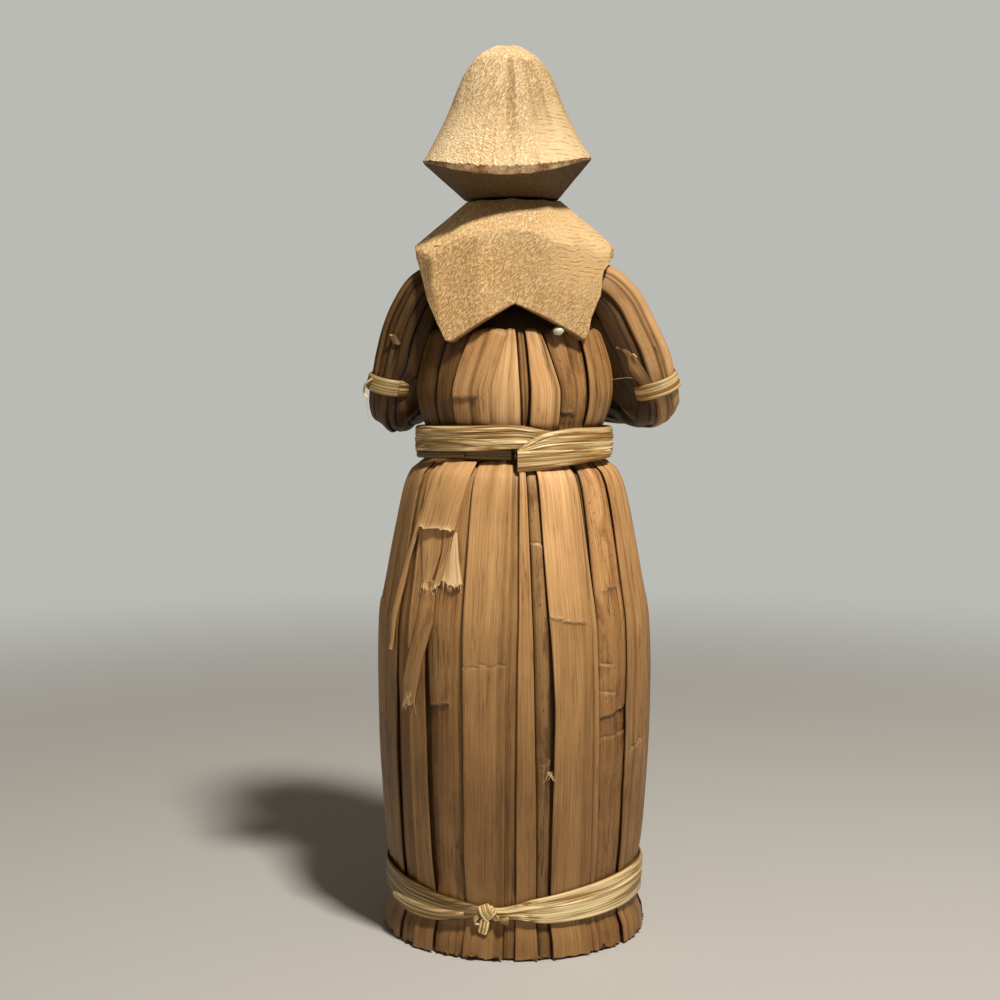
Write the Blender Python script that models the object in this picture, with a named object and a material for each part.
"""Leaf doll with a carved wooden head and collar.

The doll stands on z = 0 and faces -Y, with its own right hand at -X. Metres, +Z up.
It is built from the inside out: a rolled core, a roll of leaf in each arm, bodice and
skirt leaves laid side by side like staves, sleeve leaves round the arm rolls, raffia
ties over them, and a collar and a head threaded on one dowel.
Angles round the body run from the middle of the back towards the doll's right hand.
"""

import math

import bmesh
import bpy
from mathutils import Matrix, Vector

# Clearances
FIT_GAP = 0.0003
LEAF_SEAM_GAP = 0.0005

# Thickness of the flat materials
LEAF = 0.0012
SLEEVE_LEAF = 0.0010
RAFFIA = 0.0011
BINDING = 0.0010
BINDING_HALF_HEIGHT = 0.0030

# Waist, shared by the bodice, the skirt and the belt
WAIST_HEIGHT = 0.1557
WAIST_HALF_WIDTH = 0.0280
WAIST_DEPTH_SHARE = 0.86
BELT_HALF_HEIGHT = 0.0048
BELT_MARGIN = 0.0012
BELT_RISE = 0.0006

# Skirt and the tie round its foot
SKIRT_HALF_WIDTH = 0.0435
SKIRT_DEPTH_SHARE = 0.90
TORN_LEAF_LENGTH = 0.0353
HEM_TIE_HEIGHT = 0.0150
HEM_TIE_HALF_HEIGHT = 0.0048
KNOT_HALF_WIDTH = 0.0042
KNOT_HALF_HEIGHT = 0.0040
KNOT_THICKNESS = 0.0030
TAIL_LENGTH = 0.0090
TAIL_HALF_WIDTH = 0.0030

# Bodice, up from the waist
BODICE_LENGTH = 0.0363
BODICE_TOP = WAIST_HEIGHT + BODICE_LENGTH
CHEST_HALF_WIDTH = 0.0310
CHEST_DEPTH_SHARE = 0.82
CHEST_HEIGHT_SHARE = 0.38
NAPE_HALF_WIDTH = 0.0270
NAPE_DEPTH_SHARE = 0.82

# Carved collar: its lap over the bodice, its hang from the shoulder, its slope up to the neck
COLLAR_WALL = 0.0030
COLLAR_EASE = 0.0004
COLLAR_LAP = 0.0037
COLLAR_HANG = 0.0297
COLLAR_SLOPE = 0.0140
COLLAR_SIDE_HANG = 0.0037
COLLAR_NOTCH_RISE = 0.0107
COLLAR_CORNER = BODICE_TOP - COLLAR_LAP
COLLAR_SHOULDER = COLLAR_CORNER + COLLAR_HANG
COLLAR_SIDE_EDGE = COLLAR_SHOULDER - COLLAR_SIDE_HANG
COLLAR_NOTCH = COLLAR_CORNER + COLLAR_NOTCH_RISE
NECK_HEIGHT = COLLAR_SHOULDER + COLLAR_SLOPE
NECK_HALF_WIDTH = 0.0145
NECK_DEPTH_SHARE = 0.86
GLUE_RADIUS = 0.0012

# Arms, hung under the collar's sides
LEFT_ARM_RADIUS = 0.0060
RIGHT_ARM_RADIUS = 0.0070
ARM_RADIUS = {"left": LEFT_ARM_RADIUS, "right": RIGHT_ARM_RADIUS}
SHOULDER_HEIGHT = COLLAR_SIDE_EDGE - RIGHT_ARM_RADIUS - FIT_GAP
ELBOW_DROP = 0.0410
ELBOW_HEIGHT = SHOULDER_HEIGHT - ELBOW_DROP
LEFT_ELBOW_STANDOFF = 0.0035
RIGHT_ELBOW_STANDOFF = 0.0078
ELBOW_STANDOFF = {"left": LEFT_ELBOW_STANDOFF, "right": RIGHT_ELBOW_STANDOFF}
HAND_HALF_GAP = 0.0012
CUFF_HALF_HEIGHT = 0.0023
CUFF_PINCH = 0.0006

# Core roll, up to the arms, and the dowel that carries collar and head
CORE_TOP = SHOULDER_HEIGHT - RIGHT_ARM_RADIUS + BINDING / 2
DOWEL_RADIUS = 0.0040
DOWEL_IN_CORE = 0.0145
DOWEL_IN_HEAD = 0.0140
DOWEL_BOTTOM = CORE_TOP - DOWEL_IN_CORE
DOWEL_TOP = NECK_HEIGHT + DOWEL_IN_HEAD
DOWEL_CHAMFER = 0.0008

# Carved head in its bonnet, up from the neck
HEAD_HEIGHT = 0.0480
HEAD_TOP = NECK_HEIGHT + HEAD_HEIGHT
BONNET_HALF_WIDTH = 0.0264
BONNET_DEPTH_SHARE = 0.92
BONNET_DIP = 0.0055
BONNET_TILT = 0.0011
HEAD_OFFSET = 0.0022
FACE_RISE = 0.0200
FACE_HALF_WIDTH = 0.0105
FACE_HALF_HEIGHT = 0.0135
FACE_HALF_DEPTH = 0.0095
HOOD_MARGIN = 0.0028
NOSE_LENGTH = 0.0060
NOSE_HALF_WIDTH = 0.0016
NOSE_REACH = 0.0016

# Crown of the core above the bodice: share of the rise, of the half width, of the half depth
CORE_CROWN_SHARES = ((0.6, 0.8, 0.8), (1.0, 0.5, 0.6))

# Skirt outline as shares of the way from waist width to full width: first from the floor to
# the hem tie by share of that height, then the width under the tie, then from the tie to the belt
SKIRT_FOOT_SHARES = ((0.0, 0.90), (0.6, 0.86))
HEM_WIDTH_SHARE = 0.768
SKIRT_RISE_SHARES = (
    (0.076, 0.84), (0.19, 0.91), (0.332, 0.98), (0.473, 1.0), (0.603, 0.965), (0.721, 0.80),
    (0.851, 0.585), (0.934, 0.42), (0.967, 0.29), (0.984, 0.12), (1.0, 0.0),
)

# Seams between skirt leaves: angle at the waist, half way down and at the floor
SKIRT_SEAM_ANGLES = (
    (-80, -76, -78), (-60, -57, -60), (-51, -47, -48), (-44, -38, -37), (-21, -21, -22),
    (-1, -4, -5), (3, 1, 0), (6, 8, 10), (12, 15, 16), (32, 31, 33), (36, 36, 39),
    (56, 52, 54), (73, 70, 66), (95, 92, 90), (117, 115, 112), (139, 138, 137),
    (160, 161, 162), (181, 182, 180), (204, 206, 205), (228, 230, 229), (254, 256, 254),
)

# Torn leaf over them: its two edges
TORN_LEAF_ANGLES = ((-43, -46, -43), (-24, -26, -34))

# Seams between bodice leaves: angle at the top, at the chest and at the waist
BODICE_SEAM_ANGLES = (
    (-80, -82, -84), (-48, -53, -58), (-27, -36, -38), (-5, -14, -16), (1, 3, 5), (6, 9, 8),
    (17, 27, 30), (46, 47, 51), (66, 70, 78), (104, 102, 104), (132, 134, 134),
    (161, 164, 163), (197, 196, 198), (238, 236, 237),
)

# Collar outline from neck to shoulder: share of the drop, share of the way out
COLLAR_SLOPE_SHARES = ((0.0, 0.0), (0.21, 0.21), (0.46, 0.45), (0.75, 0.77), (1.0, 1.0))

# Underside of the collar from its inner shoulder to the bore: share of the way in, of the rise
COLLAR_HOLLOW_SHARES = ((0.35, 0.42), (0.7, 0.84), (1.0, 1.0))
COLLAR_CEILING_SHARE = 0.35

# Lower edge of the collar by angle from the middle of the back or the front
COLLAR_NOTCH_SHARES = ((0, 0.0), (15, 0.29), (28, 0.62), (42, 1.0))
COLLAR_SIDE_SHARES = ((46, 1.0), (54, 0.74), (63, 0.47), (69, 0.22), (75, 0.06), (90, 0.0))

# Bonnet outline: share of the height from neck to crown, of the half width, of the dip
BONNET_OUTLINE_SHARES = (
    (0.0, 0.55, 0.0), (0.09, 0.77, 0.45), (0.17, 0.95, 0.95), (0.21, 1.0, 1.0), (0.27, 0.99, 0.8),
    (0.38, 0.875, 0.35), (0.49, 0.77, 0.1), (0.60, 0.68, 0.0), (0.69, 0.61, 0.0),
    (0.79, 0.535, 0.0), (0.875, 0.44, 0.0), (0.95, 0.31, 0.0), (1.0, 0.2, 0.0),
)

OFFSET_RISE_SHARE = 0.25

# Arm routes: share of the reach out, share of the reach forward, share of the shoulder's rise
ARM_ROUTE_SHARES = {
    "left": (
        (0.35, 0.0, 1.01), (0.55, 0.0, 1.0), (0.70, 0.0, 0.93), (0.80, 0.0, 0.78),
        (0.875, 0.0, 0.60), (0.93, 0.0, 0.39), (0.98, 0.0, 0.20), (1.0, 0.08, 0.05),
        (0.97, 0.30, -0.03), (0.86, 0.56, 0.02), (0.64, 0.82, 0.07), (0.34, 0.97, 0.11),
    ),
    "right": (
        (0.31, 0.0, 1.01), (0.48, 0.0, 1.0), (0.62, 0.0, 0.95), (0.735, 0.0, 0.82),
        (0.82, 0.0, 0.64), (0.90, 0.0, 0.46), (0.96, 0.0, 0.26), (1.0, 0.08, 0.09),
        (0.97, 0.30, 0.0), (0.84, 0.57, 0.03), (0.60, 0.83, 0.08), (0.30, 0.98, 0.12),
    ),
}

# Arm thickness: share of the route, share of the sleeve's radius
SLEEVE_OUTLINE_SHARES = (
    (0.0, 0.86), (0.18, 0.96), (0.32, 1.0), (0.5, 1.0), (0.66, 1.0), (0.82, 0.93), (0.93, 0.80),
    (1.0, 0.86),
)
CUFF_PLACE_SHARE = 0.47
CUFF_SPREAD_SHARE = 0.06
WRIST_PLACE_SHARE = 0.93
SLEEVE_START_SHARE = 0.10
SLEEVE_END_SHARE = 0.96

# Belt: angle along the strip, share of the half height, share of the lift, share of the rise
BELT_SHAPE_SHARES = (
    (2, 0.66, 1.0, -4.0), (16, 0.76, 1.0, -2.6), (32, 0.9, 1.0, -0.8), (60, 1.0, 0.0, 0.6),
    (90, 1.0, 0.0, 1.0), (180, 0.95, 0.0, 1.0), (270, 1.0, 0.0, 0.8), (325, 0.84, 0.0, 2.4),
    (360, 0.7, 0.0, 3.8), (385, 0.36, 0.0, 3.2),
)

# Hem tie: angle round the hem, share of its half height; then the knot's and the glue's places
HEM_TIE_SHARES = (
    (-180, 0.85), (-90, 0.95), (-45, 0.72), (-24, 0.46), (-10, 0.42), (10, 0.45), (30, 0.66),
    (60, 0.92), (90, 1.0), (180, 0.85),
)
KNOT_ANGLE = -10.0
GLUE_ANGLE = 26.0
GLUE_SLOPE_SHARE = 1.2

# Fineness of the round shapes
LARGE_BALL = (20, 12)
SMALL_BALL = (10, 6)
KNOT_BALL = (12, 8)
CURVE_STEPS = 12
CORE_SIDES = 24
HEAD_SIDES = 28
COLLAR_SIDES = 48
BELT_STEP_ANGLE = 9.0
HEM_TIE_SIDES = 40
RING_SIDES = 14
ROLL_SIDES = 8
LEAF_COLUMN_ANGLE = 9.0
BODICE_ROWS = 7
ROUTE_STATIONS = 21
SLEEVE_LEAVES = 4
SLEEVE_COLUMNS = 2
SLEEVE_SEAM_ANGLE = 45.0

MATERIALS = {
    "carved_wood": ((0.69, 0.52, 0.31), 0.55),
    "dowel_wood": ((0.72, 0.57, 0.37), 0.6),
    "dry_leaf": ((0.55, 0.37, 0.20), 0.6),
    "dark_leaf": ((0.33, 0.22, 0.12), 0.65),
    "raffia": ((0.80, 0.64, 0.37), 0.55),
    "glue": ((0.86, 0.83, 0.74), 0.3),
}


def clear_scene():
    """Remove whatever the file opened with."""
    for thing in list(bpy.data.objects):
        bpy.data.objects.remove(thing)


def material(name):
    """Return the named material, made once."""
    found = bpy.data.materials.get(name)
    if found:
        return found
    colour, roughness = MATERIALS[name]
    made = bpy.data.materials.new(name)
    made.use_nodes = True
    shader = made.node_tree.nodes["Principled BSDF"]
    shader.inputs["Base Color"].default_value = (*colour, 1.0)
    shader.inputs["Roughness"].default_value = roughness
    made.diffuse_color = (*colour, 1.0)
    return made


def add_object(name, points, faces, material_name):
    """Make one object from points and faces, with its faces turned outwards."""
    mesh = bpy.data.meshes.new(name)
    mesh.from_pydata([tuple(p) for p in points], [], faces)
    tool = bmesh.new()
    tool.from_mesh(mesh)
    bmesh.ops.recalc_face_normals(tool, faces=tool.faces)
    tool.to_mesh(mesh)
    tool.free()
    made = bpy.data.objects.new(name, mesh)
    bpy.context.scene.collection.objects.link(made)
    made.data.materials.append(material(material_name))
    return made


def between(table, place):
    """Read a hand-written table at a place: straight runs from one row to the next."""
    if place <= table[0][0]:
        return table[0][1:]
    for low, high in zip(table, table[1:]):
        if place <= high[0]:
            share = (place - low[0]) / (high[0] - low[0])
            return tuple(a + (b - a) * share for a, b in zip(low[1:], high[1:]))
    return table[-1][1:]


def around(angle, half_width, half_depth, height, centre_x=0.0):
    """Point on an oval section at an angle from the middle of the back."""
    turn = math.radians(angle)
    return Vector((centre_x - half_width * math.sin(turn), half_depth * math.cos(turn), height))


def loft(name, rings, material_name, closed=False):
    """Skin a list of rings of points: capped at both ends, or joined end to start."""
    size = len(rings[0])
    points = [p for ring in rings for p in ring]
    count = len(rings)
    faces = []
    for row in range(count if closed else count - 1):
        here, there = row * size, (row + 1) % count * size
        for i in range(size):
            j = (i + 1) % size
            faces.append((here + i, here + j, there + j, there + i))
    if not closed:
        faces.append(tuple(range(size)))
        faces.append(tuple(range((count - 1) * size, count * size)))
    return add_object(name, points, faces, material_name)


def plate(name, outer, inner, material_name):
    """Close a strip between an outer and an inner grid of points."""
    rings = [list(o) + list(reversed(i)) for o, i in zip(outer, inner)]
    return loft(name, rings, material_name)


def shade_round(thing):
    """Shade a round piece smooth, with its sharp edges kept."""
    thing.data.shade_smooth()
    thing.data.set_sharp_from_angle(angle=math.radians(40))


# Body surface


def skirt_outline():
    """Heights of the skirt's rows up from the floor, each with its share of the full width."""
    tie_room = HEM_TIE_HALF_HEIGHT + FIT_GAP
    low, high = HEM_TIE_HEIGHT - tie_room, HEM_TIE_HEIGHT + tie_room
    belt_low = WAIST_HEIGHT - BELT_HALF_HEIGHT + BELT_MARGIN
    foot = [(low * share, width) for share, width in SKIRT_FOOT_SHARES]
    rise = [(high + (belt_low - high) * share, width) for share, width in SKIRT_RISE_SHARES]
    return [*foot, (low, HEM_WIDTH_SHARE), (high, HEM_WIDTH_SHARE), *rise, (WAIST_HEIGHT, 0.0)]


def skirt_section(height):
    """Half width and half depth of the skirt leaves' outer face."""
    share = between(skirt_outline(), height)[0]
    half_width = WAIST_HALF_WIDTH + (SKIRT_HALF_WIDTH - WAIST_HALF_WIDTH) * share
    depth_share = WAIST_DEPTH_SHARE + (SKIRT_DEPTH_SHARE - WAIST_DEPTH_SHARE) * share
    return half_width, half_width * depth_share


def bodice_section(height):
    """Half width and half depth of the bodice leaves' outer face."""
    start = WAIST_HEIGHT + BELT_HALF_HEIGHT + BELT_MARGIN
    rise = (height - start) / (BODICE_TOP - start)
    if rise <= CHEST_HEIGHT_SHARE:
        swell = math.sin(math.radians(90) * max(rise, 0) / CHEST_HEIGHT_SHARE)
        low, high = WAIST_HALF_WIDTH, CHEST_HALF_WIDTH
        low_depth, high_depth = WAIST_DEPTH_SHARE, CHEST_DEPTH_SHARE
    else:
        up = min((rise - CHEST_HEIGHT_SHARE) / (1 - CHEST_HEIGHT_SHARE), 1)
        swell = 1 - math.cos(math.radians(90) * up)
        low, high = CHEST_HALF_WIDTH, NAPE_HALF_WIDTH
        low_depth, high_depth = CHEST_DEPTH_SHARE, NAPE_DEPTH_SHARE
    half_width = low + (high - low) * swell
    return half_width, half_width * (low_depth + (high_depth - low_depth) * swell)


def seam_angle(seam, share):
    """Angle of a seam at a share of the way down: top, middle and bottom are given."""
    top, middle, bottom = seam
    return between(((0, top), (0.5, middle), (1, bottom)), share)[0]


def leaf(name, section, heights, left_seam, right_seam, inset=0.0):
    """One leaf strip on the body, between two seams, down a list of heights."""
    top, bottom = heights[0], heights[-1]
    width = max(b - a for a, b in zip(left_seam, right_seam))
    columns = max(1, math.ceil(width / LEAF_COLUMN_ANGLE))
    outer, inner = [], []
    for height in heights:
        down = (top - height) / (top - bottom)
        half_width, half_depth = section(height)
        margin = math.degrees(LEAF_SEAM_GAP / 2 / half_depth)
        left = seam_angle(left_seam, down) + margin
        right = seam_angle(right_seam, down) - margin
        angles = [left + (right - left) * i / columns for i in range(columns + 1)]
        outer.append([around(a, half_width + inset, half_depth + inset, height) for a in angles])
        deep = inset - LEAF
        inner.append([around(a, half_width + deep, half_depth + deep, height) for a in angles])
    return plate(name, outer, inner, "dry_leaf")


def skirt_heights():
    """Heights of the skirt's rows, from its top to the floor."""
    rows = [height for height, _ in reversed(skirt_outline()[:-1])]
    return [WAIST_HEIGHT - FIT_GAP / 2, *rows]


def bodice_heights():
    """Heights of the bodice's rows, from its top to its lower edge."""
    start = WAIST_HEIGHT + BELT_HALF_HEIGHT + BELT_MARGIN
    swell = [BODICE_TOP + (start - BODICE_TOP) * i / BODICE_ROWS for i in range(BODICE_ROWS + 1)]
    return [*swell, WAIST_HEIGHT + FIT_GAP / 2]


def wrap(seams):
    """Pair each seam with the next one round the body."""
    first = tuple(angle + 360 for angle in seams[0])
    return zip(seams, (*seams[1:], first))


def add_skirt():
    """Skirt leaves numbered from the left side, across the back and round the front."""
    for number, (left, right) in enumerate(wrap(SKIRT_SEAM_ANGLES), 1):
        leaf(f"skirt_leaf_{number:02d}", skirt_section, skirt_heights(), left, right)


def add_torn_leaf():
    """Short top layer on the left of the back, torn off part of the way down."""
    top = WAIST_HEIGHT - BELT_HALF_HEIGHT - BELT_MARGIN
    bottom = top - TORN_LEAF_LENGTH
    rows = [height for height in skirt_heights() if bottom < height < top]
    heights = [top, *rows, bottom]
    leaf("skirt_leaf_torn", skirt_section, heights, *TORN_LEAF_ANGLES, LEAF + FIT_GAP)


def add_bodice():
    """Bodice leaves numbered from the left side, across the back and round the front."""
    for number, (left, right) in enumerate(wrap(BODICE_SEAM_ANGLES), 1):
        leaf(f"bodice_leaf_{number:02d}", bodice_section, bodice_heights(), left, right)


def add_core():
    """Tight roll of leaf from the floor to the shoulders, with a socket for the dowel."""
    inset = LEAF + FIT_GAP
    rings = []
    for height in reversed(skirt_heights()):
        half_width, half_depth = skirt_section(height)
        rings.append((half_width - inset, half_depth - inset, height))
    for height in reversed(bodice_heights()):
        half_width, half_depth = bodice_section(height)
        rings.append((half_width - inset, half_depth - inset, height))
    nape_width, nape_depth, _ = rings[-1]
    rise = CORE_TOP - BODICE_TOP
    for up, wide, deep in CORE_CROWN_SHARES:
        rings.append((nape_width * wide, nape_depth * deep, BODICE_TOP + rise * up))
    socket = DOWEL_RADIUS + FIT_GAP
    rings.append((socket, socket, CORE_TOP))
    rings.append((socket, socket, DOWEL_BOTTOM - FIT_GAP))
    turns = [360 * i / CORE_SIDES for i in range(CORE_SIDES)]
    rings = [[around(a, w, d, h) for a in turns] for w, d, h in rings]
    shade_round(loft("core_roll", rings, "dark_leaf"))


# Collar and dowel


def collar_section():
    """Half width and half depth of the collar where it hangs over the bodice."""
    covered = (bodice_section(COLLAR_CORNER), bodice_section(BODICE_TOP))
    outset = COLLAR_EASE + COLLAR_WALL
    return max(w for w, _ in covered) + outset, max(d for _, d in covered) + outset


def collar_edge(angle):
    """Height of the collar's lower edge at an angle: notch, corner, then side."""
    turn = abs((angle + 180) % 360 - 180)
    turn = min(turn, 180 - turn)
    if turn <= COLLAR_NOTCH_SHARES[-1][0]:
        share = between(COLLAR_NOTCH_SHARES, turn)[0]
        return COLLAR_NOTCH + (COLLAR_CORNER - COLLAR_NOTCH) * share
    share = between(COLLAR_SIDE_SHARES, turn)[0]
    return COLLAR_SIDE_EDGE + (COLLAR_CORNER - COLLAR_SIDE_EDGE) * share


def add_collar():
    """Carved cape over the shoulders, bored for the dowel, with a notch front and back."""
    wide, deep = collar_section()
    neck_deep = NECK_HALF_WIDTH * NECK_DEPTH_SHARE
    turns = [360 * i / COLLAR_SIDES for i in range(COLLAR_SIDES)]
    rings = []
    for fall, out in COLLAR_SLOPE_SHARES:
        width = NECK_HALF_WIDTH + (wide - NECK_HALF_WIDTH) * out
        depth = neck_deep + (deep - neck_deep) * out
        rings.append([around(a, width, depth, NECK_HEIGHT - COLLAR_SLOPE * fall) for a in turns])
    for share in (0.5, 1.0):
        edge = [COLLAR_SHOULDER + (collar_edge(a) - COLLAR_SHOULDER) * share for a in turns]
        rings.append([around(a, wide, deep, z) for a, z in zip(turns, edge)])
    inner_wide, inner_deep = wide - COLLAR_WALL, deep - COLLAR_WALL
    shoulder = COLLAR_SIDE_EDGE + FIT_GAP
    for share in (1.0, 0.5, 0.0):
        edge = [shoulder + (collar_edge(a) - shoulder) * share for a in turns]
        rings.append([around(a, inner_wide, inner_deep, z) for a, z in zip(turns, edge)])
    bore = DOWEL_RADIUS + FIT_GAP
    ceiling = NECK_HEIGHT - COLLAR_SLOPE * COLLAR_CEILING_SHARE
    for into, rise in COLLAR_HOLLOW_SHARES:
        width = inner_wide + (bore - inner_wide) * into
        depth = inner_deep + (bore - inner_deep) * into
        height = shoulder + (ceiling - shoulder) * rise
        rings.append([around(a, width, depth, height) for a in turns])
    rings.append([around(a, bore, bore, NECK_HEIGHT) for a in turns])
    loft("collar", rings, "carved_wood", closed=True)


def add_dowel():
    """Dowel through collar and head, set into the core."""
    turns = [360 * i / CORE_SIDES for i in range(CORE_SIDES)]
    slim = DOWEL_RADIUS - DOWEL_CHAMFER
    rings = (
        (slim, DOWEL_BOTTOM), (DOWEL_RADIUS, DOWEL_BOTTOM + DOWEL_CHAMFER),
        (DOWEL_RADIUS, DOWEL_TOP - DOWEL_CHAMFER), (slim, DOWEL_TOP),
    )
    rings = [[around(a, r, r, z) for a in turns] for r, z in rings]
    shade_round(loft("neck_dowel", rings, "dowel_wood"))


def add_glue_dab():
    """Bead of dried glue under the collar's back edge, on the doll's right."""
    wide, deep = collar_section()
    low = collar_edge(GLUE_ANGLE) - (FIT_GAP + GLUE_RADIUS) * GLUE_SLOPE_SHARE
    spot = around(GLUE_ANGLE, wide - COLLAR_WALL / 2, deep - COLLAR_WALL / 2, low)
    dab = ball("glue_dab", spot, (GLUE_RADIUS, GLUE_RADIUS, GLUE_RADIUS), SMALL_BALL)
    dab.data.materials.append(material("glue"))
    dab.data.shade_smooth()


# Head


def stretch(thing, size):
    """Scale a unit shape's points to a size along x, y and z."""
    thing.data.transform(Matrix.Diagonal((*size, 1.0)))


def ball(name, centre, radii, fineness):
    """Oval ball, used as a tool or as a feature."""
    columns, rows = fineness
    bpy.ops.mesh.primitive_uv_sphere_add(
        segments=columns, ring_count=rows, radius=1, location=centre
    )
    made = bpy.context.object
    made.name = name
    stretch(made, radii)
    return made


def combine(target, tool, operation):
    """Boolean modifier on the target, with its tool kept out of the model."""
    tool.hide_render = True
    tool.display_type = "WIRE"
    step = target.modifiers.new(tool.name, "BOOLEAN")
    step.operation = operation
    step.solver = "EXACT"
    step.object = tool


def bonnet_rings():
    """Rings of the bonnet from its socket for the dowel, out under the rim and up to the crown."""
    turns = [360 * i / HEAD_SIDES for i in range(HEAD_SIDES)]
    low = NECK_HEIGHT + FIT_GAP
    socket = DOWEL_RADIUS + FIT_GAP
    rings = [[around(a, socket, socket, z) for a in turns] for z in (DOWEL_TOP + FIT_GAP, low)]
    for rise, out, dip in BONNET_OUTLINE_SHARES:
        width = BONNET_HALF_WIDTH * out
        level = low + (HEAD_TOP - low) * rise
        shift = HEAD_OFFSET * min(rise / OFFSET_RISE_SHARE, 1)
        ring = []
        for a in turns:
            back = max(math.cos(math.radians(a)), 0) ** 2
            side = math.sin(math.radians(a))
            height = level - (BONNET_DIP * back - BONNET_TILT * side) * dip
            ring.append(around(a, width, width * BONNET_DEPTH_SHARE, height, shift))
        rings.append(ring)
    return rings


def add_head():
    """Carved head: a bell-shaped bonnet with a plain face let into its front."""
    head = loft("head", bonnet_rings(), "carved_wood")
    front = BONNET_HALF_WIDTH * BONNET_DEPTH_SHARE
    hollow_depth = front / 2
    face_height = NECK_HEIGHT + FACE_RISE
    hollow_centre = (HEAD_OFFSET, -front, face_height)
    hollow_radii = (FACE_HALF_WIDTH + HOOD_MARGIN, hollow_depth, FACE_HALF_HEIGHT + HOOD_MARGIN)
    combine(head, ball("hood_hollow", hollow_centre, hollow_radii, LARGE_BALL), "DIFFERENCE")
    face_centre = (HEAD_OFFSET, -hollow_depth, face_height)
    face_radii = (FACE_HALF_WIDTH, FACE_HALF_DEPTH, FACE_HALF_HEIGHT)
    combine(head, ball("face_oval", face_centre, face_radii, LARGE_BALL), "UNION")
    nose_centre = (HEAD_OFFSET, -hollow_depth - FACE_HALF_DEPTH, face_height)
    nose_radii = (NOSE_HALF_WIDTH, NOSE_REACH, NOSE_LENGTH / 2)
    combine(head, ball("nose", nose_centre, nose_radii, SMALL_BALL), "UNION")


# Arms


def arm_route(side):
    """Knots of the line through an arm, from the dowel to the hand."""
    hand = 1 if side == "left" else -1
    belt_width, belt_depth = belt_section()
    body_width = max(CHEST_HALF_WIDTH, belt_width)
    body_depth = max(CHEST_HALF_WIDTH * CHEST_DEPTH_SHARE, belt_depth)
    reach = body_width + ARM_RADIUS[side] + ELBOW_STANDOFF[side]
    forward = body_depth + ARM_RADIUS[side] + FIT_GAP
    knots = [Vector((hand * (DOWEL_RADIUS + FIT_GAP), 0, SHOULDER_HEIGHT))]
    for out, ahead, up in ARM_ROUTE_SHARES[side]:
        height = ELBOW_HEIGHT + ELBOW_DROP * up
        knots.append(Vector((hand * reach * out, -forward * ahead, height)))
    knots.append(Vector((hand * HAND_HALF_GAP, -forward, knots[-1].z)))
    return knots


def smooth_line(knots, count):
    """Points at even steps along a smooth curve through the knots."""
    dense = []
    padded = [knots[0] * 2 - knots[1], *knots, knots[-1] * 2 - knots[-2]]
    for a, b, c, d in zip(padded, padded[1:], padded[2:], padded[3:]):
        for step in range(CURVE_STEPS):
            t = step / CURVE_STEPS
            dense.append(
                ((b * 2) + (c - a) * t + (a * 2 - b * 5 + c * 4 - d) * t**2
                 + (b * 3 - a - c * 3 + d) * t**3) / 2
            )
    dense.append(knots[-1])
    lengths = [0]
    for here, there in zip(dense, dense[1:]):
        lengths.append(lengths[-1] + (there - here).length)
    line, place = [], 0
    for i in range(count):
        wanted = lengths[-1] * i / (count - 1)
        while place < len(dense) - 2 and lengths[place + 1] < wanted:
            place += 1
        span = lengths[place + 1] - lengths[place]
        line.append(dense[place].lerp(dense[place + 1], (wanted - lengths[place]) / span))
    return line


def frames(line):
    """A point, an upward normal and a side normal at each station, turned as little as possible."""
    found = []
    normal = Vector((0, 0, 1))
    for i, point in enumerate(line):
        along = (line[min(i + 1, len(line) - 1)] - line[max(i - 1, 0)]).normalized()
        normal = (normal - along * normal.dot(along)).normalized()
        found.append((point, normal, along.cross(normal)))
    return found


def arm_stations(side, start=0.0, end=1.0):
    """Stations of an arm between two shares of its length, each with its share."""
    found = frames(smooth_line(arm_route(side), ROUTE_STATIONS))
    shares = [i / (ROUTE_STATIONS - 1) for i in range(ROUTE_STATIONS)]
    return [(share, *frame) for share, frame in zip(shares, found) if start <= share <= end]


def sleeve_radius(side, share):
    """Outer radius of the sleeve leaves, drawn in under the cuff tie and at the wrist."""
    radius = ARM_RADIUS[side] * between(SLEEVE_OUTLINE_SHARES, share)[0]
    return radius - CUFF_PINCH * max(0, 1 - abs(share - CUFF_PLACE_SHARE) / CUFF_SPREAD_SHARE)


def rim(frame, radius, angles):
    """Points round a station of an arm."""
    _, point, up, side = frame
    turns = [math.radians(a) for a in angles]
    return [point + (up * math.cos(t) + side * math.sin(t)) * radius for t in turns]


def add_arm(side):
    """Arm roll, the sleeve leaves round it, and the ties at the cuff and at the wrist."""
    turns = [360 * i / ROLL_SIDES for i in range(ROLL_SIDES)]
    skin = SLEEVE_LEAF + FIT_GAP
    rings = [rim(f, sleeve_radius(side, f[0]) - skin, turns) for f in arm_stations(side)]
    shade_round(loft(f"arm_roll_{side}", rings, "dark_leaf"))
    stations = arm_stations(side, SLEEVE_START_SHARE, SLEEVE_END_SHARE)
    span = 360 / SLEEVE_LEAVES
    for number in range(SLEEVE_LEAVES):
        outer, inner = [], []
        for frame in stations:
            radius = sleeve_radius(side, frame[0])
            margin = math.degrees(LEAF_SEAM_GAP / 2 / radius)
            left = SLEEVE_SEAM_ANGLE + span * number + margin
            right = left + span - margin * 2
            angles = [left + (right - left) * i / SLEEVE_COLUMNS for i in range(SLEEVE_COLUMNS + 1)]
            outer.append(rim(frame, radius, angles))
            inner.append(rim(frame, radius - SLEEVE_LEAF, angles))
        plate(f"sleeve_leaf_{side}_{number + 1}", outer, inner, "dry_leaf")
    add_arm_tie(f"cuff_tie_{side}", side, CUFF_PLACE_SHARE)
    add_arm_tie(f"wrist_tie_{side}", side, WRIST_PLACE_SHARE)


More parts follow.
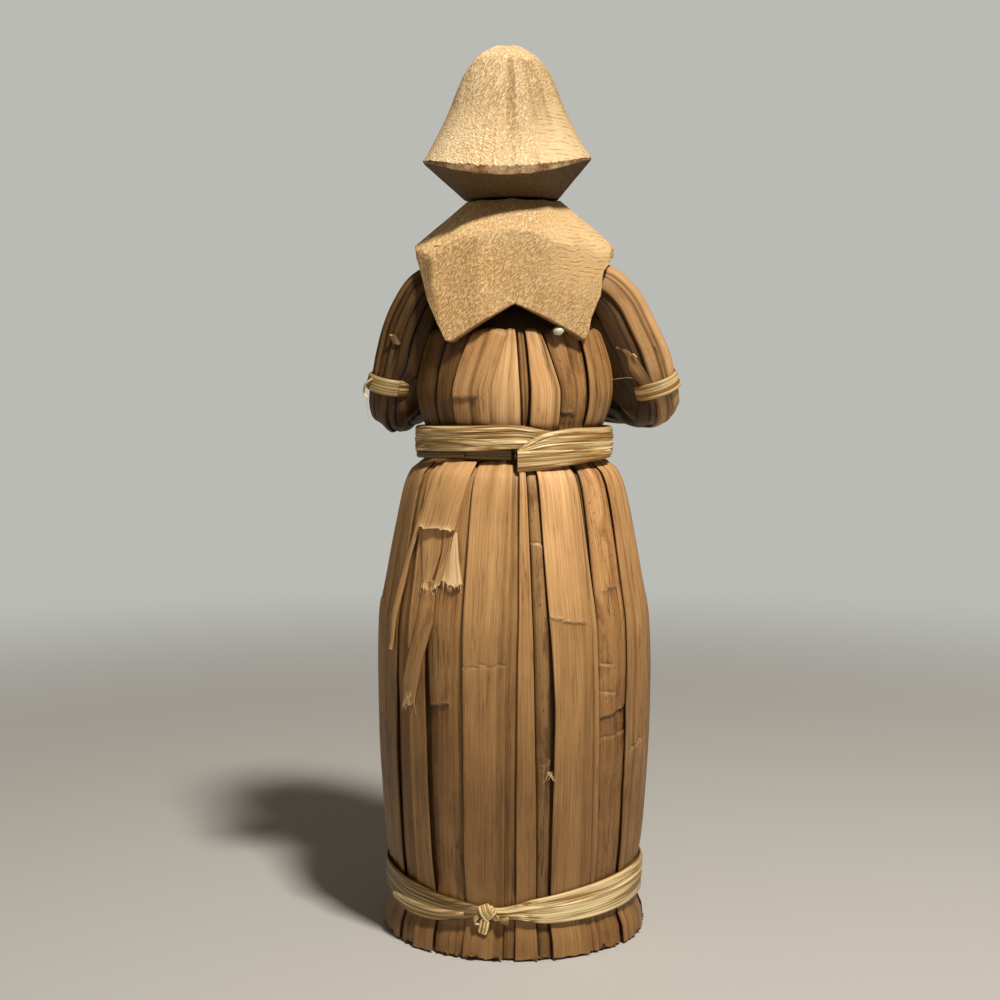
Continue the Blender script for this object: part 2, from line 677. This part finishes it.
def rim_between(stations, place, radius, angles):
    """Points round an arm at a share of its length, on the straight run between two stations."""
    spot = place * (len(stations) - 1)
    low = min(int(spot), len(stations) - 2)
    here, there = (rim(frame, radius, angles) for frame in stations[low:low + 2])
    return [a.lerp(b, spot - low) for a, b in zip(here, there)]


def add_arm_tie(name, side, place):
    """Flat raffia ring round the sleeve at a share of the arm's length, bent with it."""
    stations = arm_stations(side)
    line = [point for _, point, _, _ in stations]
    reach = CUFF_HALF_HEIGHT / sum((b - a).length for a, b in zip(line, line[1:]))
    low, high = place - reach, place + reach
    step = 1 / (len(stations) - 1)
    near = [share for share, *_ in stations if low - step < share < high + step]
    sleeve = max(sleeve_radius(side, share) for share in near)
    inner = (sleeve + FIT_GAP) / math.cos(math.pi / RING_SIDES)
    turns = [360 * i / RING_SIDES for i in range(RING_SIDES)]
    rows = [low, *(share for share in near if low < share < high), high]
    rings = [rim_between(stations, row, inner, turns) for row in rows]
    rings += [rim_between(stations, row, inner + RAFFIA, turns) for row in reversed(rows)]
    loft(name, rings, "raffia", closed=True)


# Ties round the body


def add_waist_binding():
    """Tight turns of twine over the ends of bodice and skirt, hidden by the belt."""
    half_width = WAIST_HALF_WIDTH + FIT_GAP
    half_depth = WAIST_HALF_WIDTH * WAIST_DEPTH_SHARE + FIT_GAP
    turns = [360 * i / HEM_TIE_SIDES for i in range(HEM_TIE_SIDES)]
    rings = []
    for thick, shift in ((0, -1), (BINDING, -1), (BINDING, 1), (0, 1)):
        height = WAIST_HEIGHT + BINDING_HALF_HEIGHT * shift
        rings.append([around(a, half_width + thick, half_depth + thick, height) for a in turns])
    loft("waist_binding", rings, "raffia", closed=True)


def belt_section(lift=0.0):
    """Half width and half depth of the belt's outer face, lifted where its ends lap."""
    out = FIT_GAP * 2 + BINDING + (RAFFIA + FIT_GAP) * lift + RAFFIA
    return WAIST_HALF_WIDTH + out, WAIST_HALF_WIDTH * WAIST_DEPTH_SHARE + out


def add_belt():
    """Raffia strip once round the waist, its end lapped over its start at the back."""
    start, end = BELT_SHAPE_SHARES[0][0], BELT_SHAPE_SHARES[-1][0]
    steps = round((end - start) / BELT_STEP_ANGLE)
    rings = []
    for i in range(steps + 1):
        angle = start + (end - start) * i / steps
        tall, lift, rise = between(BELT_SHAPE_SHARES, angle)
        half = BELT_HALF_HEIGHT * tall
        middle = WAIST_HEIGHT + BELT_RISE * rise
        wide, deep = belt_section(lift)
        ring = []
        for inset, shift in ((RAFFIA, -1), (0, -1), (0, 1), (RAFFIA, 1)):
            ring.append(around(angle, wide - inset, deep - inset, middle + half * shift))
        rings.append(ring)
    loft("belt", rings, "raffia")


def add_hem_tie():
    """Raffia strip round the foot of the skirt, narrow at the back where it is knotted."""
    wide, deep = skirt_section(HEM_TIE_HEIGHT)
    rings = []
    for i in range(HEM_TIE_SIDES):
        angle = 360 * i / HEM_TIE_SIDES - 180
        half = HEM_TIE_HALF_HEIGHT * between(HEM_TIE_SHARES, angle)[0]
        ring = []
        for thick, shift in ((0, -1), (RAFFIA, -1), (RAFFIA, 1), (0, 1)):
            out = FIT_GAP + thick
            ring.append(around(angle, wide + out, deep + out, HEM_TIE_HEIGHT + half * shift))
        rings.append(ring)
    loft("hem_tie", rings, "raffia", closed=True)


def add_hem_knot():
    """Knot of the hem tie with its cut tail, standing on the tie at the back."""
    wide, deep = skirt_section(HEM_TIE_HEIGHT)
    out = FIT_GAP * 2 + RAFFIA + KNOT_THICKNESS / 2
    spot = around(KNOT_ANGLE, wide + out, deep + out, HEM_TIE_HEIGHT)
    knot_radii = (KNOT_HALF_WIDTH, KNOT_THICKNESS / 2, KNOT_HALF_HEIGHT)
    knot = ball("hem_knot", spot, knot_radii, KNOT_BALL)
    knot.rotation_euler.z = math.radians(180 + KNOT_ANGLE)
    knot.data.materials.append(material("raffia"))
    knot.data.shade_smooth()
    bpy.ops.mesh.primitive_cube_add(size=1, location=spot)
    tail = bpy.context.object
    tail.name = "knot_tail_tool"
    stretch(tail, (TAIL_HALF_WIDTH * 2, RAFFIA, TAIL_LENGTH))
    tail.rotation_euler.z = math.radians(180 + KNOT_ANGLE)
    tail.location.z -= TAIL_LENGTH / 2
    combine(knot, tail, "UNION")


clear_scene()
add_core()
add_dowel()
add_skirt()
add_torn_leaf()
add_bodice()
add_arm("left")
add_arm("right")
add_waist_binding()
add_belt()
add_hem_tie()
add_hem_knot()
add_collar()
add_head()
add_glue_dab()
